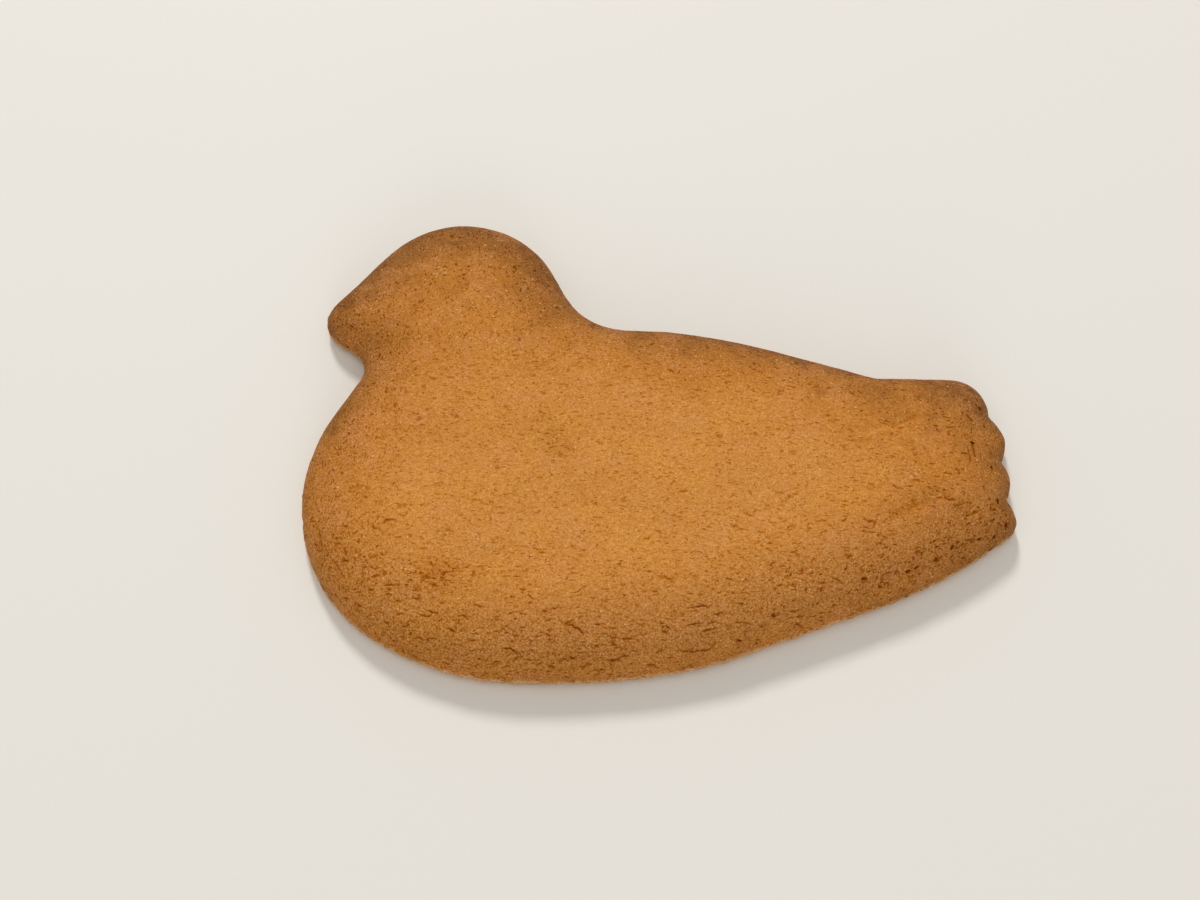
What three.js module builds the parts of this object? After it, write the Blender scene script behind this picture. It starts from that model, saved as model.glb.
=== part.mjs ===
// A bird-shaped shortbread biscuit, baked whole: one solid with a flat underside, a puffed and
// rounded edge, a gently domed top, a scalloped tail end and three shallow tail grooves.
// Millimetres. +X runs from the breast to the tail, +Y from the belly to the crown of the head,
// +Z up. The origin is on the underside, in the middle of the outline's box.
import * as THREE from 'three';

const THICKNESS = 10.5;

// The side, from the underside up: how far inside the outline each level lies.
const WIDEST_LEVEL = 1.6;
const SIDE_LEVELS = [
  { z: 0, inset: 1.0 },
  { z: 0.6, inset: 0.3 },
  { z: WIDEST_LEVEL, inset: 0 },
];

// The shoulder that rolls over from the side to the top.
const SHOULDER_WIDTH = 15;
const SHOULDER_FALL = 2.4;
const SHOULDER_ROUND = 2;

// The baked top sinks a little in slow, uneven waves.
const WAVE_DEPTH = 0.35;
const WAVES = [
  { lengthX: 47, lengthY: 61, phase: 0.4 },
  { lengthX: -33, lengthY: 38, phase: 1.9 },
  { lengthX: 29, lengthY: -44, phase: 4.1 },
];

// Straight valleys pressed into the tail, each from its start towards the tail end.
const GROOVE_DEPTH = 0.4;
const GROOVE_HALF_WIDTH = 1.6;
const GROOVES = [
  { from: [30.5, -1.5], to: [44, 4] },
  { from: [34, -10], to: [43.5, -6.5] },
  { from: [36.5, -16], to: [47, -10] },
];

// The outline wraps round discs, as a belt does: it runs over the outside of a bulge and
// round the inside of a hollow, with straight stretches between.
const bulge = (x, y, radius) => ({ x, y, radius, side: 1 });
const hollow = (x, y, radius) => ({ x, y, radius, side: -1 });

const BREAST = bulge(-29.9, -11.2, 29.2);
const BELLY = bulge(-21.7, 3.3, 45.8);
const KEEL = bulge(-17, 47.3, 89.5);
const FLANK = bulge(-1.8, 61.1, 96.8);
const TAIL_TOP = bulge(49.8, 7.2, 6.7);
const TAIL_ROOT = hollow(37.5, 15.8, 2.2);
const BACK = bulge(-2.6, -60, 81.6);
const NAPE = hollow(-5.7, 34.1, 12.4);
const CROWN = bulge(-34.7, 24.6, 17.7);
const BEAK = bulge(-54, 22, 4.2);
const THROAT = hollow(-55.5, 12.4, 4.7);

// Three scallops end the tail, with a small notch above each.
const SCALLOPS = 3;
const SCALLOP_TOP = { x: 55.7, y: 2 };
const SCALLOP_PITCH = 7.2;
const SCALLOP_LEAN = 0.35;
const SCALLOP_RADIUS = 3.2;
const NOTCH_OFFSET = { x: 3.5, y: 4 };
const NOTCH_RADIUS = 1.3;
const TOP_NOTCH = hollow(59.6, 7.8, 3);

// The middle line that the surface closes in on, inside the outline.
const SPINE_START = new THREE.Vector2(-38, 14);
const SPINE_END = new THREE.Vector2(31, -1.5);
const SPINE_PIECES = 24;

// How finely the surface is divided.
const OUTLINE_STEP = 2.2;
const ARC_STEP = THREE.MathUtils.degToRad(20);
const LEAST_SPACING = 0.15;
const TOP_ROWS = 16;
const TOP_ROW_EASING = 1.6;
const TOP_REACH = 0.85;
const DEPTH_STEP = 0.2;

function tailEnd() {
  const rounds = [];
  for (let i = SCALLOPS - 1; i >= 0; i--) {
    const x = SCALLOP_TOP.x + SCALLOP_LEAN * i;
    const y = SCALLOP_TOP.y - SCALLOP_PITCH * i;
    rounds.push(bulge(x, y, SCALLOP_RADIUS));
    const notch = hollow(x + NOTCH_OFFSET.x, y + NOTCH_OFFSET.y, NOTCH_RADIUS);
    rounds.push(i > 0 ? notch : TOP_NOTCH);
  }
  return rounds;
}

// The heading of the straight stretch from one disc to the next.
function headingBetween(a, b) {
  const across = b.side * b.radius - a.side * a.radius;
  const length = Math.hypot(b.x - a.x, b.y - a.y);
  return Math.atan2(b.y - a.y, b.x - a.x) - Math.asin(across / length);
}

// The point of a disc that the belt touches while it runs in a direction.
function touchPoint(disc, heading) {
  const reach = disc.side * disc.radius;
  return new THREE.Vector2(disc.x + reach * Math.sin(heading), disc.y - reach * Math.cos(heading));
}

// The belt round the discs, anticlockwise, with a point at least at every step of length and
// none that almost meets the one before it.
function beltOutline(discs, step) {
  const points = [];
  discs.forEach((disc, i) => {
    const before = discs.at(i - 1);
    const after = discs[(i + 1) % discs.length];
    const arrive = headingBetween(before, disc);
    const leave = headingBetween(disc, after);
    const turn = Math.atan2(Math.sin(leave - arrive), Math.cos(leave - arrive));
    const arcPoints = Math.ceil(Math.abs(turn) * Math.max(disc.radius / step, 1 / ARC_STEP));
    for (let k = 0; k <= arcPoints; k++) {
      points.push(touchPoint(disc, arrive + (turn * k) / arcPoints));
    }
    const start = points.at(-1);
    const end = touchPoint(after, leave);
    const linePoints = Math.ceil(start.distanceTo(end) / step);
    for (let k = 1; k < linePoints; k++) points.push(start.clone().lerp(end, k / linePoints));
  });
  const least = step * LEAST_SPACING;
  return points.filter((point, i) => point.distanceTo(points.at(i - 1)) > least);
}

// Distance in from the edge, as the whole edge is felt from a point: equal to the plain distance
// near a straight edge, and smooth over the middle, where the plain distance has a crease.
function softDepth(x, y, edge) {
  let pull = 0;
  for (const { middle, length } of edge) {
    pull += length / ((x - middle.x) ** 2 + (y - middle.y) ** 2) ** 2;
  }
  return Math.cbrt(Math.PI / 2 / pull);
}

function edgePieces(outline) {
  return outline.map((point, i) => {
    const next = outline[(i + 1) % outline.length];
    return { middle: point.clone().lerp(next, 0.5), length: point.distanceTo(next) };
  });
}

function waveAt(x, y) {
  const sum = WAVES.reduce(
    (total, { lengthX, lengthY, phase }) =>
      total + Math.sin(2 * Math.PI * (x / lengthX + y / lengthY) + phase),
    0,
  );
  return (1 + sum / WAVES.length) / 2;
}

// 1 along a groove's bottom, falling smoothly to 0 at its sides and past its ends.
function grooveAt(x, y) {
  const point = new THREE.Vector3(x, y, 0);
  const nearest = new THREE.Vector3();
  return GROOVES.reduce((deepest, { from, to }) => {
    const line = new THREE.Line3(new THREE.Vector3(...from, 0), new THREE.Vector3(...to, 0));
    line.closestPointToPoint(point, true, nearest);
    const away = Math.min(point.distanceTo(nearest) / GROOVE_HALF_WIDTH, 1);
    return Math.max(deepest, (1 + Math.cos(Math.PI * away)) / 2);
  }, 0);
}

function topHeight(x, y, edge) {
  const depth = Math.min(softDepth(x, y, edge) / SHOULDER_WIDTH, 1);
  const rise = (1 - (1 - depth) ** SHOULDER_FALL) ** (1 / SHOULDER_ROUND);
  const crown = THICKNESS - WAVE_DEPTH * waveAt(x, y) - GROOVE_DEPTH * grooveAt(x, y);
  return WIDEST_LEVEL + (crown - WIDEST_LEVEL) * rise;
}

// How far along the spine, from 0 to 1, the point of it nearest to an outline point lies.
function shareAlongSpine(point) {
  const spine = SPINE_END.clone().sub(SPINE_START);
  const along = point.clone().sub(SPINE_START).dot(spine) / spine.lengthSq();
  return THREE.MathUtils.clamp(along, 0, 1);
}

const spinePoint = (share) => SPINE_START.clone().lerp(SPINE_END, share);

// One closed loop of points for each level of the side and each row of the top.
function surfaceLoops(outline, edge) {
  const targets = outline.map((point) => spinePoint(shareAlongSpine(point)));
  const loops = SIDE_LEVELS.map(({ z, inset }) =>
    outline.map((point, i) => {
      const inward = targets[i].clone().sub(point).normalize();
      const { x, y } = point.clone().addScaledVector(inward, inset);
      return new THREE.Vector3(x, y, z);
    }),
  );
  for (let row = 1; row <= TOP_ROWS; row++) {
    const share = TOP_REACH * (row / TOP_ROWS) ** TOP_ROW_EASING;
    loops.push(
      outline.map((point, i) => {
        const { x, y } = point.clone().lerp(targets[i], share);
        return new THREE.Vector3(x, y, topHeight(x, y, edge));
      }),
    );
  }
  return loops;
}

function spineRow(heightAt) {
  return Array.from({ length: SPINE_PIECES + 1 }, (_, k) => {
    const { x, y } = spinePoint(k / SPINE_PIECES);
    return new THREE.Vector3(x, y, heightAt(x, y));
  });
}

// The band between two loops, each with the same number of points.
function bandTriangles(lower, upper, around) {
  const triangles = [];
  for (let i = 0; i < around; i++) {
    const next = (i + 1) % around;
    triangles.push([lower + i, lower + next, upper + next], [lower + i, upper + next, upper + i]);
  }
  return triangles;
}

// The sheet from a loop in to the spine: each loop point goes to its nearest spine point.
function closingTriangles(nearest, loop, spine) {
  const triangles = [];
  nearest.forEach((from, i) => {
    const next = (i + 1) % nearest.length;
    const to = nearest[next];
    triangles.push([loop + i, loop + next, spine + from]);
    const step = Math.sign(to - from);
    for (let k = from; k !== to; k += step) {
      triangles.push([loop + next, spine + k + step, spine + k]);
    }
  });
  return triangles;
}

const turnedOver = (triangles) => triangles.map(([a, b, c]) => [a, c, b]);

function biscuitGeometry() {
  const discs = [
    BREAST, BELLY, KEEL, FLANK, ...tailEnd(),
    TAIL_TOP, TAIL_ROOT, BACK, NAPE, CROWN, BEAK, THROAT,
  ];
  const outline = beltOutline(discs, OUTLINE_STEP);
  const edge = edgePieces(beltOutline(discs, DEPTH_STEP));
  const around = outline.length;
  const nearest = outline.map((point) => Math.round(shareAlongSpine(point) * SPINE_PIECES));

  const loops = surfaceLoops(outline, edge);
  const topSpine = spineRow((x, y) => topHeight(x, y, edge));
  const baseSpine = spineRow(() => 0);
  const topLoopStart = (loops.length - 1) * around;
  const topSpineStart = loops.length * around;
  const baseSpineStart = topSpineStart + topSpine.length;

  const triangles = turnedOver(closingTriangles(nearest, 0, baseSpineStart));
  for (let start = 0; start < topLoopStart; start += around) {
    triangles.push(...bandTriangles(start, start + around, around));
  }
  triangles.push(...closingTriangles(nearest, topLoopStart, topSpineStart));

  const geometry = new THREE.BufferGeometry();
  geometry.setFromPoints([...loops.flat(), ...topSpine, ...baseSpine]);
  geometry.setIndex(triangles.flat());
  geometry.computeVertexNormals();

  // The origin goes to the middle of the outline's box.
  geometry.computeBoundingBox();
  const { min, max } = geometry.boundingBox;
  geometry.translate(-(min.x + max.x) / 2, -(min.y + max.y) / 2, 0);
  return geometry;
}

const crust = new THREE.MeshStandardMaterial({ color: 0xc07a3c, roughness: 0.9, metalness: 0 });
const biscuit = new THREE.Mesh(biscuitGeometry(), crust);
biscuit.name = 'biscuit';

const part = new THREE.Group();
part.add(biscuit);

export default part;
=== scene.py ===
"""A bird-shaped shortbread biscuit on a plain pale floor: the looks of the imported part.

The crust is the part's own surface, made fine, then given what baking leaves: a slightly lumpy
skin, a ragged foot, pits and short cracks that run with the shape, and thin lines in the grooves
of the tail. +X runs from the breast to the tail, +Y from the belly to the crown of the head and
+Z up. Lengths are millimetres, unless a comment says metres. Meshes are written in metres.
"""

import math

import bmesh
import bpy
import numpy as np
from mathutils import Matrix, Vector
from mathutils.kdtree import KDTree


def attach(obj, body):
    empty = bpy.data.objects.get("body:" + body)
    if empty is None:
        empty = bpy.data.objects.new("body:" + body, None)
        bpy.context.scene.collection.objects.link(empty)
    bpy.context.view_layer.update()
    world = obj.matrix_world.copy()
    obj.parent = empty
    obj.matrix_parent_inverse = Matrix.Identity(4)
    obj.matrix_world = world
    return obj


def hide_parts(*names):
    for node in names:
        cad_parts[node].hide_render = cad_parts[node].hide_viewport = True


MM = 0.001

# Camera: where it stands, and in degrees how far it looks down and how far it leans.
CAMERA_PLACE = (-10.10, -124.85, 255.75)
CAMERA_ELEVATION = 63.96
CAMERA_ROLL = 1.69
CAMERA_LENS = 50.07
CAMERA_SENSOR = 36.0
CAMERA_SIGHT_METRES = (0.01, 20)

# Light: the room's even light, and lamps by place in metres, width in metres and watts.
LIGHT_TINT = (1.0, 0.985, 0.96)
ROOM_LIGHT = 0.52
LIGHTS = [
    ("key", (-0.35, 1.55, 1.35), 0.36, 23.0),
    ("sky", (-0.15, 0.1, 2.0), 1.3, 4.5),
    ("fill", (0.1, -1.9, 0.55), 1.2, 8.5),
]

FLOOR_HALF_METRES = 3.0
FLOOR_TONE = (0.78, 0.755, 0.705, 1)
FLOOR_ROUGHNESS = 0.6
FLOOR_GLOSS = 0.2

# The part's own shape: the height where the side is widest, and the shoulder above it.
WIDEST_LEVEL = 1.6
SHOULDER_WIDTH = 15.0
SHOULDER_FALL = 2.4
SHOULDER_ROUND = 2
THICKNESS = 10.3

# Reading the part's surface.
WELD_METRES = 1e-6
LEVEL_TOLERANCE = 0.01
OUTLINE_STEP = 0.3
OUTLINE_SMOOTHINGS = 12
SHOULDER_STEPS = 600
LEAST_DEPTH_SHARE = 0.9

# The fine surface. What is low and faces down is pressed flat on the floor, going by the upward
# part of its normal.
ROUNDING_LEVELS = 2
VOXEL = 0.18
MOST_TRIANGLES = 195_000
REST_HEIGHT = 0.6
REST_TURN = (-0.6, -0.9)
FLAT_BASE_TURN = -0.999

# A band is a pair of values: something comes in from none at the first to all at the second.
# Bands in plan, by x or by y.
HEAD_X = (-10, -20)
HEAD_Y = (5, 18)
BREAST_END_X = (-35, -50)
BODY_BEND_X = (-10, 30)
BODY_BEND_DEGREES = 12
CRACKED_TAIL_X = (22, 45)
BROWN_TAIL_X = (20, 52)
BUSY_TAIL_X = (35, 50)

# Baked relief: how far out, and the waves that it goes by, as the longest, the shortest, how
# many there are and the seed.
FULLNESS = 0.08
FULLNESS_REACH = 4
SWELL_DEPTH = 0.05
SWELL_WAVES = (24, 9, 30, 11)
LUMP_DEPTH = 0.022
LUMP_WAVES = (6, 2.2, 60, 12)
LUMP_SQUEEZE = (0.7, 1, 1)
LUMPS_EVERYWHERE = 0.5
LUMPS_NEAR = 0.9
FLAKE_DEPTH = 0.018
FLAKE_WAVES = (2.4, 1.2, 60, 13)
FLAKE_SQUEEZE = (0.4, 1)
FLAKES_AT_RIM = 0.3
FOOT_RAG = 0.07
FOOT_WAVES = (5, 1.0, 40, 15)
RIM_RAG = 0.05
RIM_WAVES = (5, 1.2, 40, 16)

# The relief's bands, by height, by how level the surface is, and by the length in from the edge.
ABOVE_FOOT_Z = (0.3, 1.4)
FOOT_Z = (1.6, 0.5)
FOOT_LEVEL = (0.98, 0.7)
RIM_Z = (4.5, 2.0)
RELIEF_NEAR_IN = (20, 8)
FLAKES_IN = (14, 5)

# Cracks and pits spread over the crust by chance: how likely they are, and where.
CARVING_SEED = 71
CRACKS = 760
PITS = 1500
LEAST_CHANCE = 0.25
NEAR_CHANCE = 0.75
TAIL_CHANCE = 0.2
LEFT_CHANCE = 0.4
CROWDING = 0.35
CROWDING_WAVES = (22, 7, 24, 5)
LEAST_CROWDING = 0.3
LEAST_RIM_CHANCE = 0.3
LOWEST_CRACK_Z = 1.0
CRACKED_NEAR_IN = (30, 10)
CRACKED_LEFT_IN = (20, 8)
CRACKED_RIM_IN = (1, 7)

# Their sizes, from the least to the most, or as a middle and a spread. Within about FLOW_REACH
# of the edge they run along it.
FLOW_REACH = 11
CRACK_LENGTH = 0.6
CRACK_LENGTH_NEAR = 0.35
CRACK_LENGTH_SPREAD = 0.5
CRACK_LENGTH_MOST = 3
CRACK_WIDTH = (0.13, 0.21)
CRACK_DEPTH = (0.08, 0.15)
CRACK_DEEPER_NEAR = 0.7
CRACK_LEAN = 0.15
CRACK_LEAN_LOOSE = 0.8
CRACK_WANDER = 0.55
PIT_LENGTH = (0.1, 0.4)
PIT_WIDTH = (0.11, 0.20)
PIT_DEPTH = (0.06, 0.15)
PIT_LEAN = 1
PIT_WANDER = 0.5

# A point as deep as this in one crack carries no lip of another.
LIPLESS_DEPTH = 0.04

# The longest cracks, each from its left end: x, y, length, heading in degrees.
BREAST_CRACKS = [
    (-45.0, -18.8, 3.0, 8), (-51.0, -19.4, 1.1, -5), (-55.3, -19.0, 1.8, -88),
    (-50.8, -24.4, 2.0, -60), (-44.0, -29.3, 2.2, 8), (-43.5, -30.7, 1.3, -12),
    (-50.4, -30.2, 0.9, -40), (-33.1, -35.8, 1.5, -45),
]
KEEL_CRACKS = [
    (-17.2, -32.7, 1.4, 0), (-15.2, -35.0, 4.0, -6), (-24.5, -38.4, 2.8, -2),
    (-14.0, -39.4, 1.2, 2), (-8.0, -39.8, 3.6, 6), (-7.3, -37.3, 1.3, 5),
    (2.8, -37.3, 7.0, 6), (4.4, -34.4, 2.7, 12), (4.1, -31.6, 3.6, 5),
    (6.5, -35.0, 3.0, 6), (42.2, -21.3, 1.8, 12), (47.1, -19.2, 2.1, 14),
]
LONG_CRACK = {"width": 0.20, "deepest": 0.26, "wander": 0.6, "dark": 1.1}

# The largest pits, most of them in the tail: x, y.
LARGE_PITS = [
    (51.2, -0.9), (54.7, -4.5), (55.3, -10.3), (56.6, -14.4), (54.7, -16.3), (51.8, -17.1),
    (53.5, 6.6), (32.3, -25.3), (35.3, -25.9), (39.5, -23.3), (41.1, -22.8), (44.6, -20.9),
    (47.1, -19.3), (29.5, -24.3), (12.5, -35.5), (17.9, -31.5),
]
LARGE_PIT = {"length": 0.85, "width": 0.27, "deepest": 0.3, "wander": 0.5, "dark": 1.7}
LARGE_PIT_LEAN = 0.4

# Where small pits crowd together: x, y, spread, how many.
PIT_CLUSTERS = [
    (-35.0, -26.7, 1.3, 30), (-38.3, -28.0, 1.0, 12), (-45.0, -27.5, 2.2, 22),
    (-25.0, -35.5, 1.2, 10), (54.0, -15.0, 2.0, 16),
]
CLUSTER_PIT = {"width": 0.19, "deepest": 0.15, "wander": 0.6}
CLUSTER_PIT_LENGTH = (0.2, 0.8)
CLUSTER_PIT_LEAN = 0.8

# The grooves of the tail, from start to end, and how strongly each is marked.
GROOVES = [
    ((30.6, -1.8), (38.4, -0.3), 0.75), ((37.2, 0.9), (43.4, 3.8), 0.85),
    ((32.4, -10.6), (38.2, -9.3), 0.5), ((35.8, -15.4), (41.4, -13.8), 0.7),
    ((39.4, -13.6), (44.4, -12.2), 1.0), ((44.6, -11.7), (48.0, -10.4), 0.8),
]
GROOVE_LINE_WIDTH = 0.46
GROOVE_LINE_DEPTH = 0.14
GROOVE_LINE_WOBBLE = 0.2
GROOVE_WOBBLE_WAVES = (6, 1.5, 24)
GROOVE_WOBBLE_SEEDS = (21, 22)
GROOVE_LINE_FADE = 0.25

# The notches between the tail's scallops, pressed in further: x, y.
NOTCHES = [(57.6, -1.9), (58.2, -8.6), (56.3, 6.4)]
NOTCH_WIDTH = 1.1
NOTCH_DEPTH = 0.35

# How browned the crust is, its bands by the length in from the edge, and how finely the whole
# edge is felt. Beside the edge's own baked colour, the far side is darkened with painted shade and
# the near side is lightened with painted bounce light.
EDGE_BROWNING = 0.6
# Painted shade: the far side, and its rim most, made darker still.
FAR_PAINTED_SHADE = 0.4
FAR_RIM_PAINTED_SHADE = 0.35
# Painted bounce light: the near side made lighter.
NEAR_PAINTED_BOUNCE_LIGHT = 0.22
HEAD_BROWNER = 0.27
TAIL_BROWNER = 0.26
BROWN_EDGE_IN = (24, 2)
# The band of the far rim's painted shade.
FAR_RIM_SHADE_IN = (9, 3)
# The bands of the near side's painted bounce light.
BOUNCE_LIGHT_NEAR_IN = (18, 9)
BOUNCE_LIGHT_RIM_IN = (1, 6)
FELT_BATCHES = 60
FELT_OUTLINE_SKIP = 2
LEAST_FELT_AREA = 0.05

# Where the crust is browner than that, or less brown: x, y, width, how much.
BROWN_SPOTS = [
    (-35.0, -27.0, 2.4, 0.25), (-18.4, -2.5, 3.5, 0.7), (4.6, 7.7, 4.0, 0.1),
    (-15.0, 19.0, 6.0, -0.2), (53.0, 7.5, 4.0, 0.35), (41.0, 12.0, 5.5, -0.35),
    (6.4, 17.5, 8.0, 0.12), (-32.0, 2.0, 14.0, 0.18), (-53.5, 16.5, 2.6, -0.3),
    (55.5, -14.0, 4.0, 0.15), (-55.5, 21.5, 3.5, 0.15), (38.8, -6.4, 5.0, 0.12),
]

# How crowded the small torn marks are, and where they crowd away from the edge: x, y, width,
# how much.
BUSY_NEAR = 0.7
BUSY_LEFT = 0.8
BUSY_TAIL = 0.1
BUSY_HEAD = 0.25
CALM_HEAD = 0.8
BUSY_IN = (26, 8)
BUSY_SPOTS = [
    (-38.0, -27.0, 9.0, 0.9), (-52.0, 21.0, 6.0, 0.9), (-48.0, -10.0, 9.0, 0.6),
    (38.0, -26.0, 6.0, 0.35), (12.0, -14.0, 12.0, 0.1),
]

# The near side, which the material makes coarser, and pinker and lighter as painted bounce light.
NEAR_SIDE_IN = (20, 10)
NEAR_SIDE_RIM_IN = (1, 7)

# Crust colour from the least browned to the most, at a share of the most browning. Colours with
# parts up to 255 are picture colours.
MOST_BROWNING = 1.25
BROWNING_COLOURS = [
    (0.0, (202, 136, 62)),
    (0.2, (196, 129, 54)),
    (0.4, (186, 119, 46)),
    (0.6, (170, 108, 41)),
    (0.8, (148, 93, 36)),
    (1.0, (134, 82, 32)),
]
PINK_INSIDE = (207, 140, 80)
PINK_EDGE = (188, 122, 64)
# Painted bounce light: the lighter pink of the near side.
NEAR_SIDE_PAINTED_LIGHT_PINK = (190, 126, 64)
MIDDLE_YELLOW = (208, 142, 60)
# The grooves' bottoms: partly their own yellower colour, partly painted shade in the crease.
GROOVE_YELLOW_AND_SHADE = (178, 106, 20)
FOOT_PALE = (210, 168, 118)
# Painted glints: tiny bright specks where sugar grains catch the light.
PAINTED_GLINT_PALE = (240, 196, 138)
UNDERSIDE_LIGHT = (176, 111, 54)
UNDERSIDE_DARK = (160, 98, 46)

# What a torn mark makes of the crust's red, green and blue, at its rim and in its core. The dark
# core is partly the dough's own colour and partly painted shade in the hollow; the orange rim is
# partly painted light, as of light shining through the thin dough there.
TORN_RIM_WITH_PAINTED_LIGHT = (0.84, 0.61, 0.09)
TORN_CORE_WITH_PAINTED_SHADE = (0.36, 0.11, 0.0)

# How strongly baking darkens red, green and blue.
DARKENING = (0.8, 1.4, 3.2)

SHEEN_WEIGHT = 0.05
SHEEN_ROUGHNESS = 0.3
SHEEN_TINT = (1.0, 0.8, 0.4, 1.0)

# The material's noises: where each starts, its scale for a millimetre, detail and roughness.
NOISES = {
    "patches": ((0, 0, 0), 0.14, 3, 0.6),
    "smudges": ((5, 43, 11), 0.33, 4, 0.62),
    "pink": ((31, 7, 3), 0.20, 3, 0.6),
    "yellow": ((3, 17, 29), 0.12, 2, 0.5),
    "groove breaks": ((0, 0, 0), 0.7, 3, 0.6),
    "foot waver": ((0, 0, 0), 0.4, 3, 0.6),
    "clumps": ((9, 3, 71), 0.30, 2, 0.5),
    "fine grain": ((0, 0, 0), 3.0, 3, 0.8),
    "flaky grain": ((0, 0, 0), 2.2, 3, 0.7),
    "crack fray": ((0, 0, 0), 3.4, 2, 0.6),
    # Painted glints of sugar grains.
    "painted_glints": ((40, 4, 4), 2.8, 0, 0.5),
    "small lumps": ((0, 0, 0), 1.0, 2, 0.6),
}

# A span is the part of a value over which something comes in, from none of it to all of it.
NOISE_SPANS = {
    "smudges": (0.52, 0.72),
    "pink": (0.46, 0.66),
    "yellow": (0.48, 0.66),
    "groove breaks": (0.30, 0.48),
    "clumps": (0.3, 0.75),
    "painted_glints": (0.77, 0.82),
}

# How far patches change the browning and how strongly they tint, with more of it at the edge.
PATCHINESS = 0.4
PATCHINESS_EDGE = 0.4
SMUDGE_BROWNING = 0.22
PINKNESS = 0.6
PINKNESS_EDGE = 0.4
PINK_SHARE = 0.5
YELLOW_SHARE = 0.5
# How much of the near side's painted bounce light it takes.
NEAR_SIDE_PAINTED_LIGHT_SHARE = 0.4
PALE_FOOT_SHARE = 0.75
GROOVE_SHARE = 0.95
# How strongly the painted glints show.
PAINTED_GLINT_SHARE = 0.6

# Torn marks: how they are drawn out on the body, at the edge and on the head, how they are bent,
# as a scale and a reach, and their sizes, as where each starts, its scale and its reach.
BODY_SQUEEZE = (0.42, 1.0, 1.0)
EDGE_SQUEEZE = (0.5, 0.5, 1.0)
HEAD_SQUEEZE = (1.0, 0.75, 1.0)
EDGE_WIDTH = 12.0
TEAR_BENDS = [(1.0, 1.0), (3.5, 0.25)]
TEAR_SIZES = [((0, 0, 0), 1.2, 0.31), ((50, 0, 0), 2.3, 0.36)]
LEAST_TEAR = 1e-4
TEAR_SIZE_SPAN = (0.45, 1.0)
TEAR_EDGE_SPAN = (1.0, 0.6)
CLUMPING = (-0.08, 0.24)
BUSY_CLUMPING = 0.22

# How strongly the marks are tinted, each core more where the crust is browner.
RIM_SHARE = 0.8
SMALL_RIM_SHARE = 0.8
SMALL_CORE = 0.14
SMALL_CORE_BROWNED = 0.40
CRACK_CORE = 0.45
CRACK_CORE_BROWNED = 0.45
BROWNED_SPAN = (0.15, 0.8)
SMALL_CORE_SPAN = (0.5, 0.9)
CRACK_RIM_SPAN = (0.3, 0.7)
CRACK_CORE_SPAN = (0.7, 0.9)

# Grain: the part of its noise that shows, how far it swings the tone, and how high it stands.
GRAIN_SPAN = (0.33, 0.67)
GRAIN_SWING = 0.25
GRAIN_SWING_EDGE = 0.05
GRAIN_SWING_NEAR = 0.06
UNDERSIDE_SWING = 0.2
FLAKY_SQUEEZE = (0.6, 1.0, 1.0)
FLAKY_SHARE = 0.35
FLAKY_SPAN = (0.8, 0.0)
UNDERSIDE_SPAN = (0.3, 0.7)
GRAIN_RISE = 0.14
GRAIN_RISE_EDGE = 0.08
GRAIN_RISE_NEAR = 0.10
SMALL_LUMP_RISE = 0.20
TEAR_FALL = 0.08

# Roughness goes by the grain, and gloss is lost in the torn marks.
ROUGHNESS = (0.9, 0.65)
ROUGHNESS_SPAN = (0.35, 0.65)
GLOSS = (0.12, 0.0)
GLOSS_SPAN = (0.0, 0.5)

# The material's own bands, by the length in from the edge, by x and by height.
EDGE_IN = (18, 4)
MIDDLE_IN = (12, 24)
BEHIND_BREAST_X = (-36, -20)
PALE_FOOT_Z = (2.9, 1.5)
FOOT_WAVER = 2.2
UNDERSIDE_Z = (0.12, 0.04)


def ease(value, low, high):
    """0 at low and before it, 1 at high and past it, smooth between. Low may be the greater."""
    share = np.clip((value - low) / (high - low), 0, 1)
    return share * share * (3 - 2 * share)


def wave_field(points, longest, shortest, waves, seed):
    """A smooth random field with a spread of 1: plane waves of mixed length and heading."""
    rng = np.random.default_rng(seed)
    total = np.zeros(len(points))
    for _ in range(waves):
        heading = rng.normal(size=points.shape[1])
        heading /= np.linalg.norm(heading)
        length = math.exp(rng.uniform(math.log(shortest), math.log(longest)))
        phase = rng.uniform(0, 2 * math.pi)
        total += np.sin(points @ (heading * (2 * math.pi / length)) + phase)
    return total / math.sqrt(waves / 2)


def spot(points, x, y, width):
    """1 at a place in plan, falling smoothly to 0 around it."""
    away = np.hypot(points[:, 0] - x, points[:, 1] - y) / width
    return np.exp(-(away**2))


def head_share(points):
    """1 on the head, 0 on the body."""
    return ease(points[:, 1], *HEAD_Y) * ease(points[:, 0], *HEAD_X)


def loose_share(points):
    """1 on the head and at the end of the breast, where marks run every way, else 0."""
    return np.maximum(head_share(points), ease(points[:, 0], *BREAST_END_X))


def mesh_points(mesh):
    points = np.empty(len(mesh.vertices) * 3, np.float32)
    mesh.vertices.foreach_get("co", points)
    return points.reshape(-1, 3).astype(float) / MM


def set_points(mesh, points):
    mesh.vertices.foreach_set("co", (points * MM).astype(np.float32).ravel())
    mesh.update()


def point_normals(mesh):
    normals = np.empty(len(mesh.vertices) * 3, np.float32)
    mesh.vertex_normals.foreach_get("vector", normals)
    return normals.reshape(-1, 3).astype(float)


def tree_of(points):
    tree = KDTree(len(points))
    for i, point in enumerate(points):
        tree.insert(point, i)
    tree.balance()
    return tree


def linked(name, data):
    """A new object in the scene."""
    obj = bpy.data.objects.new(name, data)
    bpy.context.collection.objects.link(obj)
    return obj


def applied(obj):
    """The object's mesh with its modifiers applied. The object goes."""
    graph = bpy.context.evaluated_depsgraph_get()
    mesh = bpy.data.meshes.new_from_object(obj.evaluated_get(graph), depsgraph=graph)
    bpy.data.objects.remove(obj)
    return mesh


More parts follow.
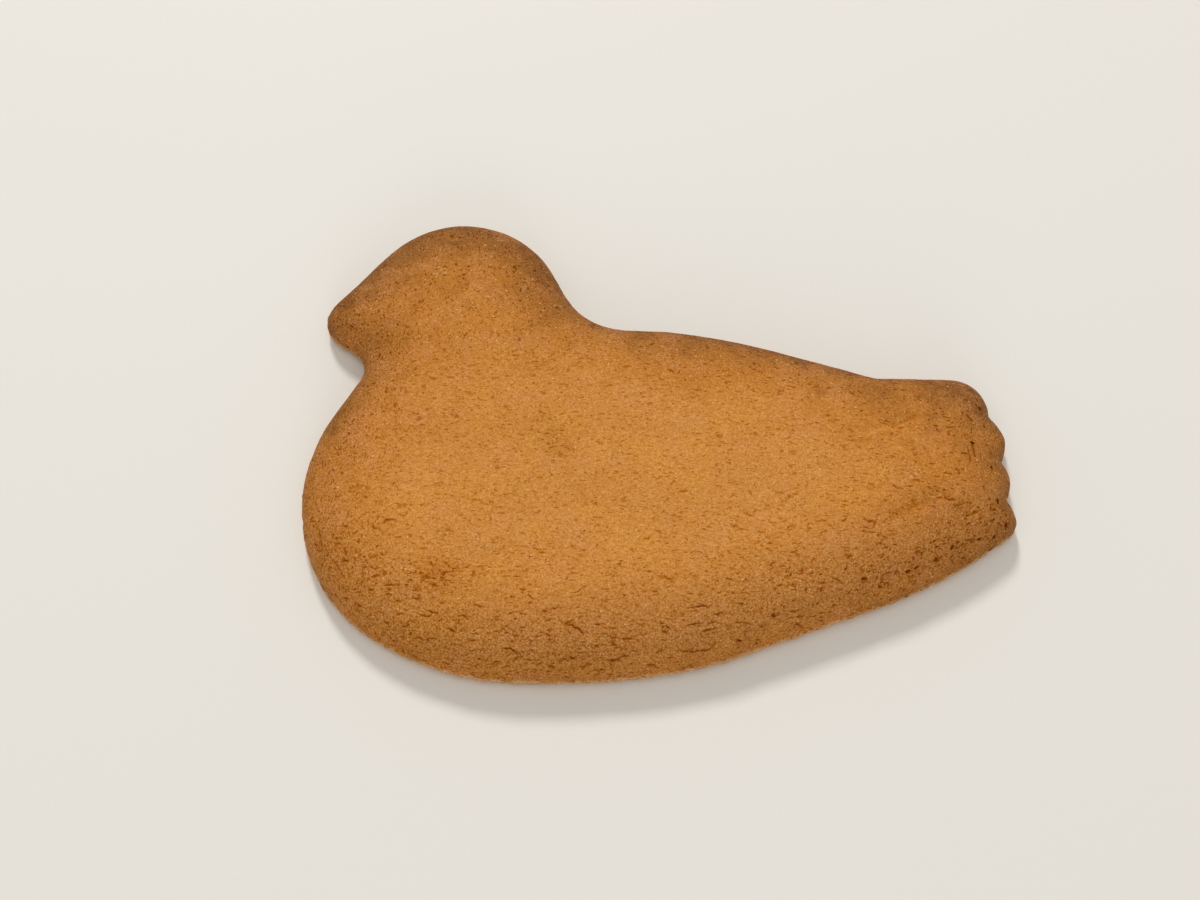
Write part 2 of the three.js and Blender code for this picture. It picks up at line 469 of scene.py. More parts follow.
def welded(mesh):
    """The mesh as a bmesh, with its doubled points joined."""
    made = bmesh.new()
    made.from_mesh(mesh)
    bmesh.ops.remove_doubles(made, verts=made.verts, dist=WELD_METRES)
    return made


def widest_loop(mesh):
    """The part's outline at its widest level, as a loop of plan points, anticlockwise."""
    made = welded(mesh)
    level = {v for v in made.verts if abs(v.co.z / MM - WIDEST_LEVEL) < LEVEL_TOLERANCE}
    start = min(level, key=lambda v: v.co.x)
    loop, last = [start], None
    while True:
        here = loop[-1]
        others = [e.other_vert(here) for e in here.link_edges]
        ahead = [v for v in others if v in level and v is not last]
        following = ahead[0] if len(loop) > 1 else min(ahead, key=lambda v: v.co.y)
        if following is start:
            break
        last = here
        loop.append(following)
    points = np.array([v.co.xy for v in loop]) / MM
    made.free()
    return points


def run_length(outline):
    """Length along a closed loop up to each of its points, and all of it."""
    steps = np.linalg.norm(np.roll(outline, -1, axis=0) - outline, axis=1)
    return np.concatenate([[0], np.cumsum(steps)[:-1]]), steps.sum()


def closely_spaced(loop):
    """The same loop with a point at every step of length, rounded a little."""
    along, whole = run_length(loop)
    count = int(round(whole / OUTLINE_STEP))
    at = np.linspace(0, whole, count, endpoint=False)
    closed = np.vstack([loop, loop[:1]])
    known = np.append(along, whole)
    points = np.column_stack([np.interp(at, known, closed[:, i]) for i in (0, 1)])
    for _ in range(OUTLINE_SMOOTHINGS):
        points = 0.5 * points + 0.25 * (np.roll(points, 1, axis=0) + np.roll(points, -1, axis=0))
    return points


def unrolled_depth(depth, z):
    """Length over the surface, in from the widest level, of a point at a depth from the edge."""
    steps = np.linspace(0, SHOULDER_WIDTH, SHOULDER_STEPS) ** 2 / SHOULDER_WIDTH
    rise = (1 - (1 - steps / SHOULDER_WIDTH) ** SHOULDER_FALL) ** (1 / SHOULDER_ROUND)
    rise = rise * (THICKNESS - WIDEST_LEVEL)
    length = np.concatenate([[0], np.cumsum(np.hypot(np.diff(steps), np.diff(rise)))])
    over_top = np.interp(depth, steps, length) + np.maximum(depth - SHOULDER_WIDTH, 0)
    return np.where(z < WIDEST_LEVEL, z - WIDEST_LEVEL, over_top)


class Edge:
    """What each point of the surface knows about the edge of the biscuit.

    way is the direction of the edge beside the point, in plan, and near, far and left say how
    much the edge faces each way there. along is the length round the edge, out of the whole, and
    inward is the length over the surface, in from the widest level.
    """

    def __init__(self, outline, points):
        along_outline, self.whole = run_length(outline)
        ahead = np.roll(outline, -1, axis=0) - np.roll(outline, 1, axis=0)
        ahead /= np.linalg.norm(ahead, axis=1)[:, None]
        tree = tree_of(np.column_stack([outline, np.zeros(len(outline))]))
        nearest = np.array([tree.find((x, y, 0))[1] for x, y in points[:, :2]])
        offset = points[:, :2] - outline[nearest]
        self.way = ahead[nearest]
        out = np.column_stack([self.way[:, 1], -self.way[:, 0]])
        self.near = np.clip(-out[:, 1], 0, 1)
        self.far = np.clip(out[:, 1], 0, 1)
        self.left = np.clip(-out[:, 0], 0, 1)
        slide = (offset * self.way).sum(1)
        self.along = (along_outline[nearest] + slide) % self.whole
        depth = np.maximum(-(offset * out).sum(1), 0)
        least = np.linalg.norm(offset, axis=1) * LEAST_DEPTH_SHARE
        depth = np.where(depth > 0, np.maximum(depth, least), 0)
        self.inward = unrolled_depth(depth, points[:, 2])


def fine_surface():
    """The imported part's surface with its facets rounded off, in even small pieces."""
    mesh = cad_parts["biscuit"].data.copy()
    made = welded(mesh)
    made.to_mesh(mesh)
    made.free()
    rough = linked("rough", mesh)
    rounding = rough.modifiers.new("rounding", "SUBSURF")
    rounding.levels = rounding.render_levels = ROUNDING_LEVELS
    evening = rough.modifiers.new("evening", "REMESH")
    evening.mode = "VOXEL"
    evening.voxel_size = VOXEL * MM
    return applied(rough)


def flow_heading(edge, points):
    """Heading in plan of the cracks: along the edge near it, along the body further in."""
    body = np.radians(ease(points[:, 0], *BODY_BEND_X) * BODY_BEND_DEGREES)
    rim = np.arctan2(edge.way[:, 1], edge.way[:, 0])
    weight = np.exp(-((edge.inward / FLOW_REACH) ** 2))
    across = weight * np.sin(2 * rim) + (1 - weight) * np.sin(2 * body)
    along = weight * np.cos(2 * rim) + (1 - weight) * np.cos(2 * body)
    return np.arctan2(across, along) / 2


class Carver:
    """Cuts cracks and pits, and keeps how deep and how strongly marked each point is."""

    # A crack goes in steps, and each takes most of its bend and breadth from the last. It thins
    # towards its ends, and its mark and its lips reach past its width.
    STEP = 0.14
    MEMORY = 0.8
    BENDING = 0.6
    UNEVENNESS = 0.15
    END_BLUNTNESS = 0.7
    LEAST_BREADTH = 0.5
    END_WIDTH = 0.45
    END_MARK = 0.35
    MARK_REACH = 1.25
    LIP_REACH = 2
    LIP_SHARE = 0.35
    TOP_SEARCHES = 8
    TINY = 1e-6

    def __init__(self, points, normals, edge):
        self.rng = np.random.default_rng(CARVING_SEED)
        self.points = points
        self.headings = flow_heading(edge, points)
        level = np.zeros(len(points))
        flat = np.column_stack([np.cos(self.headings), np.sin(self.headings), level])
        flat -= normals * (flat * normals).sum(1)[:, None]
        self.ways = flat / np.maximum(np.linalg.norm(flat, axis=1), self.TINY)[:, None]
        self.sides = np.cross(normals, self.ways)
        self.tree = tree_of(points)
        self.depth = np.zeros(len(points))
        self.lip = np.zeros(len(points))
        self.mark = np.zeros(len(points))

    def top_point(self, x, y):
        """The point of the top above a place in plan."""
        z = THICKNESS
        for _ in range(self.TOP_SEARCHES):
            _, at, _ = self.tree.find((x, y, z))
            z = self.points[at, 2]
        return at

    def cut(self, start, length, width, deepest, lean, wander, dark=1.0):
        """One crack: a wavering line along the way of the crust, now broader and now thinner.

        It leans off that way by an angle and wanders on from there. A pit is a very short crack.
        """
        count = max(int(length / self.STEP), 1)
        bend, broad = 0.0, 0.0
        place, at = Vector(self.points[start]), start
        for i in range(count):
            bend = self.MEMORY * bend + self.rng.normal(0, self.BENDING * wander)
            broad = self.MEMORY * broad + self.rng.normal(0, self.UNEVENNESS)
            taper = math.sin(math.pi * (i + 0.5) / count) ** self.END_BLUNTNESS
            taper *= float(np.clip(1 + broad, self.LEAST_BREADTH, 1))
            reach = width * (self.END_WIDTH + (1 - self.END_WIDTH) * taper) * (1 + broad)
            self.press(place, reach, deepest, taper, dark)
            turn = lean + bend
            way = Vector(self.ways[at]) * math.cos(turn) + Vector(self.sides[at]) * math.sin(turn)
            place, at, _ = self.tree.find(place + way * self.STEP)

    def press(self, place, reach, deepest, taper, dark):
        """Presses one round of the crack in, raises a lip around it and marks it."""
        dark = dark * (self.END_MARK + (1 - self.END_MARK) * taper)
        for _, k, away in self.tree.find_range(place, reach * self.LIP_REACH):
            inner = max(1 - (away / reach) ** 2, 0)
            outer = math.sin(math.pi * min(away / (self.LIP_REACH * reach), 1)) ** 2
            marked = max(1 - (away / (self.MARK_REACH * reach)) ** 2, 0)
            self.depth[k] = max(self.depth[k], deepest * taper * inner)
            self.lip[k] = max(self.lip[k], self.LIP_SHARE * deepest * taper * outer)
            self.mark[k] = max(self.mark[k], min(dark * marked, 1))


def carving_chance(points, edge, near, head):
    """How likely a crack or a pit is to start at each point."""
    tail = ease(points[:, 0], *CRACKED_TAIL_X)
    chance = LEAST_CHANCE + near * (NEAR_CHANCE + TAIL_CHANCE * tail)
    chance += LEFT_CHANCE * edge.left * ease(edge.inward, *CRACKED_LEFT_IN) * (1 - head)
    crowding = 1 + CROWDING * wave_field(points, *CROWDING_WAVES)
    chance *= np.clip(crowding, LEAST_CROWDING, None)
    rim = np.clip(ease(edge.inward, *CRACKED_RIM_IN), LEAST_RIM_CHANCE, 1)
    chance *= rim * (points[:, 2] > LOWEST_CRACK_Z)
    return chance / chance.sum()


def carved(points, normals, edge):
    """Depth of the cracks and pits at each point, and how strongly each is marked."""
    carver = Carver(points, normals, edge)
    rng = carver.rng
    head = head_share(points)
    near = edge.near * ease(edge.inward, *CRACKED_NEAR_IN) * (1 - head)
    chance = carving_chance(points, edge, near, head)
    loose = loose_share(points)
    for start in rng.choice(len(points), CRACKS, p=chance):
        middle = math.log(CRACK_LENGTH + CRACK_LENGTH_NEAR * near[start])
        length = min(rng.lognormal(middle, CRACK_LENGTH_SPREAD), CRACK_LENGTH_MOST)
        width = rng.uniform(*CRACK_WIDTH)
        deepest = rng.uniform(*CRACK_DEPTH) * (1 + CRACK_DEEPER_NEAR * near[start])
        lean = rng.normal(0, CRACK_LEAN + CRACK_LEAN_LOOSE * loose[start])
        carver.cut(start, length, width, deepest, lean, CRACK_WANDER)
    for start in rng.choice(len(points), PITS, p=chance):
        width = rng.uniform(*PIT_WIDTH)
        length = rng.uniform(*PIT_LENGTH)
        deepest = rng.uniform(*PIT_DEPTH)
        carver.cut(start, length, width, deepest, rng.normal(0, PIT_LEAN), PIT_WANDER)
    for x, y, length, heading in BREAST_CRACKS + KEEL_CRACKS:
        start = carver.top_point(x, y)
        lean = math.radians(heading) - carver.headings[start]
        carver.cut(start, length, lean=lean, **LONG_CRACK)
    for x, y in LARGE_PITS:
        carver.cut(carver.top_point(x, y), lean=rng.normal(0, LARGE_PIT_LEAN), **LARGE_PIT)
    for x, y, spread, count in PIT_CLUSTERS:
        for place in rng.normal((x, y), spread, (count, 2)):
            length = rng.uniform(*CLUSTER_PIT_LENGTH)
            lean = rng.normal(0, CLUSTER_PIT_LEAN)
            carver.cut(carver.top_point(*place), length, lean=lean, **CLUSTER_PIT)
    lip = carver.lip * (1 - ease(carver.depth, 0, LIPLESS_DEPTH))
    return carver.depth - lip, carver.mark


def groove_share(points):
    """1 along the thin lines at the bottoms of the tail's grooves, 0 away from them."""
    share = np.zeros(len(points))
    wobble = [wave_field(points, *GROOVE_WOBBLE_WAVES, seed) for seed in GROOVE_WOBBLE_SEEDS]
    shaken = points[:, :2] + GROOVE_LINE_WOBBLE * np.column_stack(wobble)
    for start, end, strength in GROOVES:
        start, end = np.array(start), np.array(end)
        run = end - start
        at = (shaken - start) @ run / (run @ run)
        away = np.linalg.norm(shaken - start - np.clip(at, 0, 1)[:, None] * run, axis=1)
        begun, unended = ease(at, 0, GROOVE_LINE_FADE), ease(at, 1, 1 - GROOVE_LINE_FADE)
        line = np.exp(-((away / GROOVE_LINE_WIDTH) ** 2)) * begun * unended
        share = np.maximum(share, strength * line)
    return share * (points[:, 2] > WIDEST_LEVEL)


def baked_relief(points, normals, edge):
    """How far baking moved each point out of the plain surface, and the cracks' marks."""
    over = np.column_stack([edge.along, edge.inward])
    z = points[:, 2]
    near = edge.near * ease(edge.inward, *RELIEF_NEAR_IN) * (1 - head_share(points))
    upper = ease(z, *ABOVE_FOOT_Z)
    swell = wave_field(points, *SWELL_WAVES) * SWELL_DEPTH
    lumps = wave_field(points * LUMP_SQUEEZE, *LUMP_WAVES) * LUMP_DEPTH
    flakes = wave_field(over * FLAKE_SQUEEZE, *FLAKE_WAVES) * FLAKE_DEPTH
    flakes *= np.maximum(near, FLAKES_AT_RIM * ease(edge.inward, *FLAKES_IN))
    out = (swell + lumps * (LUMPS_EVERYWHERE + LUMPS_NEAR * near) + flakes) * upper
    out += FULLNESS * np.exp(-((edge.inward / FULLNESS_REACH) ** 2)) * upper
    foot = ease(z, *FOOT_Z) * ease(np.abs(normals[:, 2]), *FOOT_LEVEL)
    out += foot * FOOT_RAG * wave_field(points, *FOOT_WAVES)
    out += RIM_RAG * wave_field(over, *RIM_WAVES) * ease(z, *RIM_Z) * upper
    out -= GROOVE_LINE_DEPTH * groove_share(points)
    for x, y in NOTCHES:
        out -= NOTCH_DEPTH * spot(points, x, y, NOTCH_WIDTH) * upper
    depth, mark = carved(points, normals, edge)
    return out - depth, mark


def crust_mesh(outline):
    """The baked surface, and for each of its points where it was before and its mark."""
    mesh = fine_surface()
    points = mesh_points(mesh)
    normals = point_normals(mesh)
    out, mark = baked_relief(points, normals, Edge(outline, points))
    moved = points + normals * out[:, None]
    resting = ease(normals[:, 2], *REST_TURN) * (points[:, 2] < REST_HEIGHT)
    moved[:, 2] = np.maximum(moved[:, 2], 0) * (1 - resting)
    set_points(mesh, moved)

    dense = linked("dense", mesh)
    thinning = dense.modifiers.new("thinning", "DECIMATE")
    thinning.ratio = min(1, MOST_TRIANGLES / (2 * len(mesh.polygons)))
    thinned = applied(dense)

    kept = mesh_points(thinned)
    kept[:, 2] = np.maximum(kept[:, 2], 0)
    set_points(thinned, kept)
    tree = tree_of(moved)
    source = np.array([tree.find(point)[1] for point in kept])
    return thinned, points[source], mark[source]


def felt_depth(plain, outline):
    """Depth in from the edge as the whole edge is felt: less on a corner, more behind a hollow."""
    step = run_length(outline)[1] / len(outline)
    depth = np.empty(len(plain))
    for part in np.array_split(np.arange(len(plain)), FELT_BATCHES):
        away = ((plain[part, None, :2] - outline[None]) ** 2).sum(2)
        pull = (step / np.maximum(away, LEAST_FELT_AREA) ** 2).sum(1)
        depth[part] = np.cbrt(math.pi / 2 / pull)
    return depth


def browning_and_shade_of(plain, edge, outline):
    """How browned the crust is, 0 to 1 and over: most at the edge, with painted shade that darkens
    the far side, its rim above all, and painted bounce light that lightens the near side.
    """
    felt = unrolled_depth(felt_depth(plain, outline[::FELT_OUTLINE_SKIP]), plain[:, 2])
    # Baked colour at the edge, with painted shade on the far side, most of all on its rim.
    brown_and_shade = ease(felt, *BROWN_EDGE_IN) * (EDGE_BROWNING + FAR_PAINTED_SHADE * edge.far)
    brown_and_shade += FAR_RIM_PAINTED_SHADE * edge.far * ease(edge.inward, *FAR_RIM_SHADE_IN)
    # Painted bounce light lightens the near side.
    near_bounce_light = ease(edge.inward, *BOUNCE_LIGHT_NEAR_IN) * ease(edge.inward, *BOUNCE_LIGHT_RIM_IN)
    brown_and_shade -= NEAR_PAINTED_BOUNCE_LIGHT * edge.near * near_bounce_light
    brown_and_shade += HEAD_BROWNER * head_share(plain) + TAIL_BROWNER * ease(plain[:, 0], *BROWN_TAIL_X)
    for x, y, width, more in BROWN_SPOTS:
        brown_and_shade += more * spot(plain, x, y, width)
    return brown_and_shade


def busy_share(plain, edge):
    """How crowded the small torn marks are, from 0 in the middle of the biscuit."""
    rim = ease(edge.inward, *BUSY_IN)
    share = rim * (BUSY_NEAR * edge.near + BUSY_LEFT * edge.left)
    share += BUSY_TAIL * rim * ease(plain[:, 0], *BUSY_TAIL_X)
    share *= 1 - CALM_HEAD * head_share(plain)
    share += BUSY_HEAD * head_share(plain)
    for x, y, width, more in BUSY_SPOTS:
        share += more * spot(plain, x, y, width)
    return share


def write_fields(mesh, plain, mark, outline):
    """Puts on the mesh what its material goes by."""
    edge = Edge(outline, plain)

    def put(name, values, kind="FLOAT", key="value"):
        mesh.attributes.new(name, kind, "POINT").data.foreach_set(
            key, np.asarray(values, np.float32).ravel()
        )

    side = edge.near * ease(edge.inward, *NEAR_SIDE_IN) * ease(edge.inward, *NEAR_SIDE_RIM_IN)
    put("crack", mark)
    put("inward", edge.inward)
    put("height", plain[:, 2])
    # Baked colour, with painted shade on the far side and painted bounce light on the near side.
    put("browning_and_shade", browning_and_shade_of(plain, edge, outline))
    put("groove", groove_share(plain))
    put("head", loose_share(plain))
    put("near_side", side * (1 - head_share(plain)))
    put("busy", busy_share(plain, edge))

    # A place over the edge, rolled up into a ring so that it has no seam.
    angle = edge.along / edge.whole * 2 * math.pi
    radius = edge.whole / (2 * math.pi)
    ring = [radius * np.cos(angle), radius * np.sin(angle), edge.inward]
    put("rim_place", np.column_stack(ring), "FLOAT_VECTOR", "vector")


def build_biscuit():
    outline = closely_spaced(widest_loop(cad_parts["biscuit"].data))
    mesh, plain, mark = crust_mesh(outline)
    mesh.name = "biscuit_crust"
    mesh.materials.clear()
    write_fields(mesh, plain, mark, outline)
    facing = np.empty(3 * len(mesh.polygons), np.float32)
    mesh.polygon_normals.foreach_get("vector", facing)
    mesh.polygons.foreach_set("use_smooth", facing[2::3] > FLAT_BASE_TURN)
    return linked("biscuit_crust", mesh)


def colour(red, green, blue):
    """A picture colour, 0 to 255, as the linear colour that a shader takes."""
    def linear(c):
        c /= 255
        return c / 12.92 if c <= 0.04045 else ((c + 0.055) / 1.055) ** 2.4
    return (linear(red), linear(green), linear(blue), 1.0)


class Shader:
    """Short ways to add nodes to a material."""

    def __init__(self, name):
        self.material = bpy.data.materials.new(name)
        self.material.use_nodes = True
        self.tree = self.material.node_tree
        self.inputs = self.tree.nodes["Principled BSDF"].inputs

    def add(self, kind, inputs=(), **settings):
        node = self.tree.nodes.new(kind)
        for key, value in settings.items():
            setattr(node, key, value)
        for key, value in dict(inputs).items():
            self.put(node.inputs[key], value)
        return node

    def put(self, socket, value):
        if isinstance(value, bpy.types.NodeSocket):
            self.tree.links.new(value, socket)
        else:
            socket.default_value = value

    def math(self, operation, first, *others):
        """The operation over two or more values, taken from the left."""
        for value in others:
            node = self.add("ShaderNodeMath", {0: first, 1: value}, operation=operation)
            first = node.outputs[0]
        return first

    def times(self, *values):
        return self.math("MULTIPLY", *values)

    def plus(self, *values):
        return self.math("ADD", *values)

    def most(self, *values):
        return self.math("MAXIMUM", *values)

    def centred(self, value):
        """A share moved down, so that it swings round 0."""
        return self.math("SUBTRACT", value, 0.5)

    def vector(self, operation, first, second):
        node = self.add("ShaderNodeVectorMath", {0: first, 1: second}, operation=operation)
        return node.outputs[0]

    def scaled(self, vector, factors):
        return self.vector("MULTIPLY", vector, factors)

    def moved(self, vector, way):
        return self.vector("ADD", vector, way)

    def along(self, place, axis):
        return self.add("ShaderNodeSeparateXYZ", {0: place}).outputs[axis]

    def field(self, name):
        return self.add("ShaderNodeAttribute", attribute_name=name).outputs["Fac"]

    def ramp(self, value, low, high, at_low=0.0, at_high=1.0):
        ends = {"From Min": low, "From Max": high, "To Min": at_low, "To Max": at_high}
        return self.add(
            "ShaderNodeMapRange", {"Value": value, **ends}, interpolation_type="SMOOTHSTEP"
        ).outputs[0]

    def noise(self, place, name):
        start, scale, detail, rough = NOISES[name]
        inputs = {"Scale": scale, "Detail": detail, "Roughness": rough}
        return self.add(
            "ShaderNodeTexNoise", {"Vector": self.moved(place, start), **inputs}
        ).outputs["Fac"]

    def blotches(self, place, name, at_low=0.0, at_high=1.0):
        """Where a noise is strong enough to show."""
        return self.ramp(self.noise(place, name), *NOISE_SPANS[name], at_low, at_high)

    def mix(self, share, a, b):
        node = self.add("ShaderNodeMix", data_type="RGBA")
        for socket, value in zip([node.inputs[0], node.inputs[6], node.inputs[7]], [share, a, b]):
            self.put(socket, value)
        return node.outputs[2]

    def darkened(self, tone, share):
        """The tone darkened as baked dough darkens: its blue most, its red least."""
        weights = [self.math("POWER", share, strength) for strength in DARKENING]
        way = self.add("ShaderNodeCombineXYZ", dict(enumerate(weights))).outputs[0]
        return self.scaled(tone, way)

    def gradient(self, value, stops):
        node = self.add("ShaderNodeValToRGB", {0: value})
        elements = node.color_ramp.elements
        while len(elements) < len(stops):
            elements.new(0.5)
        for element, (at, shade) in zip(elements, stops):
            element.position, element.color = at, colour(*shade)
        return node.outputs[0]

    def warped(self, place, scale, reach):
        """The place moved about by a noise, so that what is drawn there comes out ragged."""
        noise = self.add("ShaderNodeTexNoise", {"Vector": place, "Scale": scale, "Detail": 1.0})
        away = self.vector("SUBTRACT", noise.outputs["Color"], (0.5, 0.5, 0.5))
        way = self.add("ShaderNodeVectorMath", {0: away, "Scale": reach}, operation="SCALE")
        return self.moved(place, way.outputs[0])

    def tears(self, place, scale, size, clump):
        """Small torn marks, each of its own size: 1 in the middle of one, 0 outside them."""
        cells = self.add("ShaderNodeTexVoronoi", {"Vector": place, "Scale": scale})
        own = self.add("ShaderNodeSeparateColor", {0: cells.outputs["Color"]}).outputs[0]
        reach = self.times(self.ramp(self.plus(own, clump), *TEAR_SIZE_SPAN), size)
        away = self.math("DIVIDE", cells.outputs["Distance"], self.plus(reach, LEAST_TEAR))
        return self.ramp(away, *TEAR_EDGE_SPAN)


def crust_tone(sh, place, rim_place, edge, brown_and_shade):
    """The colour of the whole skin, before its grain and marks."""
    # The value it goes by holds painted shade on the far side and painted bounce light on the near
    # side.
    tone = sh.gradient(sh.times(brown_and_shade, 1 / MOST_BROWNING), BROWNING_COLOURS)

    # Pinker patches where the skin is dry, and yellower ones in the middle.
    pink = sh.blotches(place, "pink", at_high=PINK_SHARE)
    pinker = sh.mix(edge, colour(*PINK_INSIDE), colour(*PINK_EDGE))
    pinkness = sh.plus(PINKNESS, sh.times(edge, PINKNESS_EDGE))
    tone = sh.mix(sh.times(pink, pinkness), tone, pinker)
    # Painted bounce light: the near side, behind the breast, tinted a lighter pink.
    behind_breast = sh.ramp(sh.along(place, "X"), *BEHIND_BREAST_X, at_high=NEAR_SIDE_PAINTED_LIGHT_SHARE)
    tone = sh.mix(sh.times(sh.field("near_side"), behind_breast), tone, colour(*NEAR_SIDE_PAINTED_LIGHT_PINK))
    yellow = sh.blotches(place, "yellow", at_high=YELLOW_SHARE)
    middle = sh.ramp(sh.field("inward"), *MIDDLE_IN)
    tone = sh.mix(sh.times(yellow, middle), tone, colour(*MIDDLE_YELLOW))

    # The bottoms of the tail's grooves are yellower and darker: partly their own colour, partly
    # painted shade in the crease.
    groove = sh.times(sh.field("groove"), sh.blotches(place, "groove breaks"), GROOVE_SHARE)
    tone = sh.mix(groove, tone, colour(*GROOVE_YELLOW_AND_SHADE))

    # A thin pale line at the foot, where the biscuit stood on the tray.
    waver = sh.times(sh.centred(sh.noise(rim_place, "foot waver")), FOOT_WAVER)
    height = sh.plus(sh.field("height"), waver)
    pale = sh.ramp(height, *PALE_FOOT_Z, at_high=PALE_FOOT_SHARE)
    return sh.mix(pale, tone, colour(*FOOT_PALE))


def torn_marks(sh, place, rim_place):
    """Small torn marks along the body or along the edge, more of them where they clump."""
    clump = sh.blotches(place, "clumps", *CLUMPING)
    clump = sh.plus(clump, sh.times(sh.field("busy"), BUSY_CLUMPING))
    at_edge = sh.math("GREATER_THAN", EDGE_WIDTH, sh.field("inward"))
    on_head = sh.math("GREATER_THAN", sh.field("head"), 0.5)
    way = sh.scaled(place, BODY_SQUEEZE)
    way = sh.mix(at_edge, way, sh.scaled(rim_place, EDGE_SQUEEZE))
    way = sh.mix(on_head, way, sh.scaled(place, HEAD_SQUEEZE))
    for scale, reach in TEAR_BENDS:
        way = sh.warped(way, scale, reach)
    return sh.most(
        *(sh.tears(sh.moved(way, start), scale, size, clump) for start, scale, size in TEAR_SIZES)
    )


def crust_material():
    sh = Shader("baked_crust")
    place = sh.scaled(sh.add("ShaderNodeTexCoord").outputs["Object"], (1 / MM, 1 / MM, 1 / MM))
    rim_place = sh.add("ShaderNodeAttribute", attribute_name="rim_place").outputs["Vector"]
    edge = sh.ramp(sh.field("inward"), *EDGE_IN)
    near_side = sh.field("near_side")

    # How browned: the field, made patchy. The field holds painted shade on the far side and
    # painted bounce light on the near side.
    patches = sh.noise(place, "patches")
    brown_and_shade = sh.plus(
        sh.field("browning_and_shade"),
        sh.times(sh.centred(patches), sh.plus(PATCHINESS, sh.times(edge, PATCHINESS_EDGE))),
        sh.blotches(place, "smudges", at_high=SMUDGE_BROWNING),
    )
    tone = crust_tone(sh, place, rim_place, edge, brown_and_shade)

    # Sandy grain, more flaky in the middle and stronger at the edge and on the near side.
    fine = sh.noise(place, "fine grain")
    flaky = sh.noise(sh.scaled(place, FLAKY_SQUEEZE), "flaky grain")
    grain = sh.mix(sh.ramp(edge, *FLAKY_SPAN, at_high=FLAKY_SHARE), fine, flaky)
    swing = sh.plus(
        GRAIN_SWING, sh.times(edge, GRAIN_SWING_EDGE), sh.times(near_side, GRAIN_SWING_NEAR)
    )
    skin = sh.darkened(tone, sh.plus(1.0, sh.times(sh.ramp(grain, *GRAIN_SPAN, -1, 1), swing)))

    # A crack has an orange rim and a dark core, a small mark only a hint of the core. The core is
    # partly painted shade in the hollow, and the rim partly painted light shining through the thin
    # dough.
    marks = torn_marks(sh, place, rim_place)
    torn = sh.plus(sh.field("crack"), sh.centred(sh.noise(place, "crack fray")))
    brown_share = sh.ramp(brown_and_shade, *BROWNED_SPAN)
    rim = sh.most(sh.times(marks, SMALL_RIM_SHARE), sh.ramp(torn, *CRACK_RIM_SPAN))
    small_core = sh.plus(SMALL_CORE, sh.times(brown_share, SMALL_CORE_BROWNED))
    crack_core = sh.plus(CRACK_CORE, sh.times(brown_share, CRACK_CORE_BROWNED))
    core = sh.most(
        sh.times(sh.ramp(marks, *SMALL_CORE_SPAN), small_core),
        sh.times(sh.ramp(torn, *CRACK_CORE_SPAN), crack_core),
    )
    skin = sh.mix(sh.times(rim, RIM_SHARE), skin, sh.scaled(tone, TORN_RIM_WITH_PAINTED_LIGHT))
    skin = sh.mix(core, skin, sh.scaled(tone, TORN_CORE_WITH_PAINTED_SHADE))
    # Painted glints: tiny bright specks where sugar grains catch the light.
    painted_glints = sh.times(sh.blotches(place, "painted_glints"), PAINTED_GLINT_SHARE)
    skin = sh.mix(painted_glints, skin, colour(*PAINTED_GLINT_PALE))

    # The underside is evenly browned, with a fine dry grain.
    darker = sh.ramp(patches, *UNDERSIDE_SPAN)
    underside = sh.mix(darker, colour(*UNDERSIDE_LIGHT), colour(*UNDERSIDE_DARK))
    dry = sh.times(sh.ramp(fine, *GRAIN_SPAN, -1, 1), UNDERSIDE_SWING)
    underside = sh.darkened(underside, sh.plus(1.0, dry))
    skin = sh.mix(sh.ramp(sh.along(place, "Z"), *UNDERSIDE_Z), skin, underside)

    grain_rise = sh.plus(
        GRAIN_RISE, sh.times(edge, GRAIN_RISE_EDGE), sh.times(near_side, GRAIN_RISE_NEAR)
    )
    rise = sh.plus(
        sh.times(fine, grain_rise),
        sh.times(sh.noise(place, "small lumps"), SMALL_LUMP_RISE),
        sh.times(marks, -TEAR_FALL),
    )
    bump = sh.add("ShaderNodeBump", {"Height": rise, "Distance": MM, "Strength": 1.0})
    sh.put(sh.inputs["Base Color"], skin)
    sh.put(sh.inputs["Roughness"], sh.ramp(grain, *ROUGHNESS_SPAN, *ROUGHNESS))
    sh.put(sh.inputs["Specular IOR Level"], sh.ramp(rim, *GLOSS_SPAN, *GLOSS))
    sh.put(sh.inputs["Normal"], bump.outputs[0])
    sh.put(sh.inputs["Sheen Weight"], SHEEN_WEIGHT)
    sh.put(sh.inputs["Sheen Roughness"], SHEEN_ROUGHNESS)
    sh.put(sh.inputs["Sheen Tint"], SHEEN_TINT)
    return sh.material


def floor_material():
    sh = Shader("pale_floor")
    sh.put(sh.inputs["Base Color"], FLOOR_TONE)
    sh.put(sh.inputs["Roughness"], FLOOR_ROUGHNESS)
    sh.put(sh.inputs["Specular IOR Level"], FLOOR_GLOSS)
    return sh.material


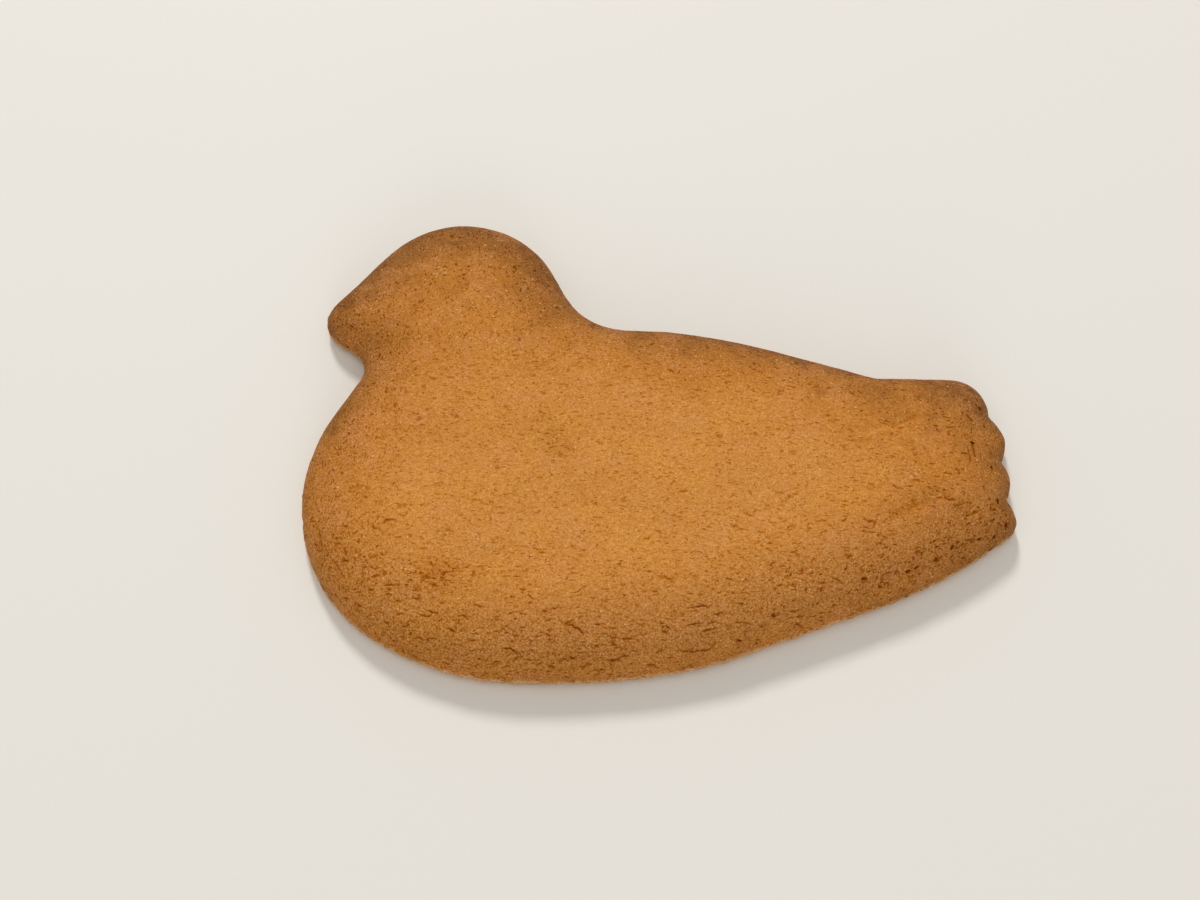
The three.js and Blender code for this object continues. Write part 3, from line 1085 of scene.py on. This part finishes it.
def build_floor():
    mesh = bpy.data.meshes.new("floor")
    half = FLOOR_HALF_METRES
    corners = [(-half, -half, 0), (half, -half, 0), (half, half, 0), (-half, half, 0)]
    mesh.from_pydata(corners, [], [(0, 1, 2, 3)])
    mesh.materials.append(floor_material())
    floor = linked("floor", mesh)


def build_camera():
    tilt, roll = math.radians(CAMERA_ELEVATION), math.radians(CAMERA_ROLL)
    level = Vector((1, 0, 0))
    upright = Vector((0, math.sin(tilt), math.cos(tilt)))
    right = level * math.cos(roll) + upright * math.sin(roll)
    up = upright * math.cos(roll) - level * math.sin(roll)
    back = right.cross(up)
    turned = Matrix((right, up, back)).transposed().to_4x4()
    data = bpy.data.cameras.new("camera")
    data.lens, data.sensor_width = CAMERA_LENS, CAMERA_SENSOR
    data.clip_start, data.clip_end = CAMERA_SIGHT_METRES
    camera = linked("camera", data)
    camera.matrix_world = Matrix.Translation(Vector(CAMERA_PLACE) * MM) @ turned
    bpy.context.scene.camera = camera


def build_light(name, place, size, watts):
    data = bpy.data.lights.new(name, "AREA")
    data.shape = "DISK"
    data.size, data.energy, data.color = size, watts, LIGHT_TINT
    light = linked(name, data)
    light.location = place
    light.rotation_mode = "QUATERNION"
    light.rotation_quaternion = Vector(place).to_track_quat("Z", "Y")


def build_room():
    world = bpy.data.worlds.new("room")
    world.use_nodes = True
    background = world.node_tree.nodes["Background"]
    background.inputs["Color"].default_value = (*LIGHT_TINT, 1)
    background.inputs["Strength"].default_value = ROOM_LIGHT
    bpy.context.scene.world = world
    for name, place, size, watts in LIGHTS:
        build_light(name, place, size, watts)
    bpy.context.scene.view_settings.view_transform = "Standard"


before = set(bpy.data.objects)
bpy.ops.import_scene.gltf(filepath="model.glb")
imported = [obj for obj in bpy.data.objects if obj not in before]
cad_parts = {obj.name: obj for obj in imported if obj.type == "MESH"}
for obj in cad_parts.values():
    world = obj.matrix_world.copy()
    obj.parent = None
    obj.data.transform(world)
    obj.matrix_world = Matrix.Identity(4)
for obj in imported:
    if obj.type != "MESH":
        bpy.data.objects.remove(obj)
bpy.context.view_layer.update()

build_camera()
build_floor()
build_room()

biscuit = build_biscuit()
biscuit.data.materials.append(crust_material())
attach(biscuit, "root")
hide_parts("biscuit")
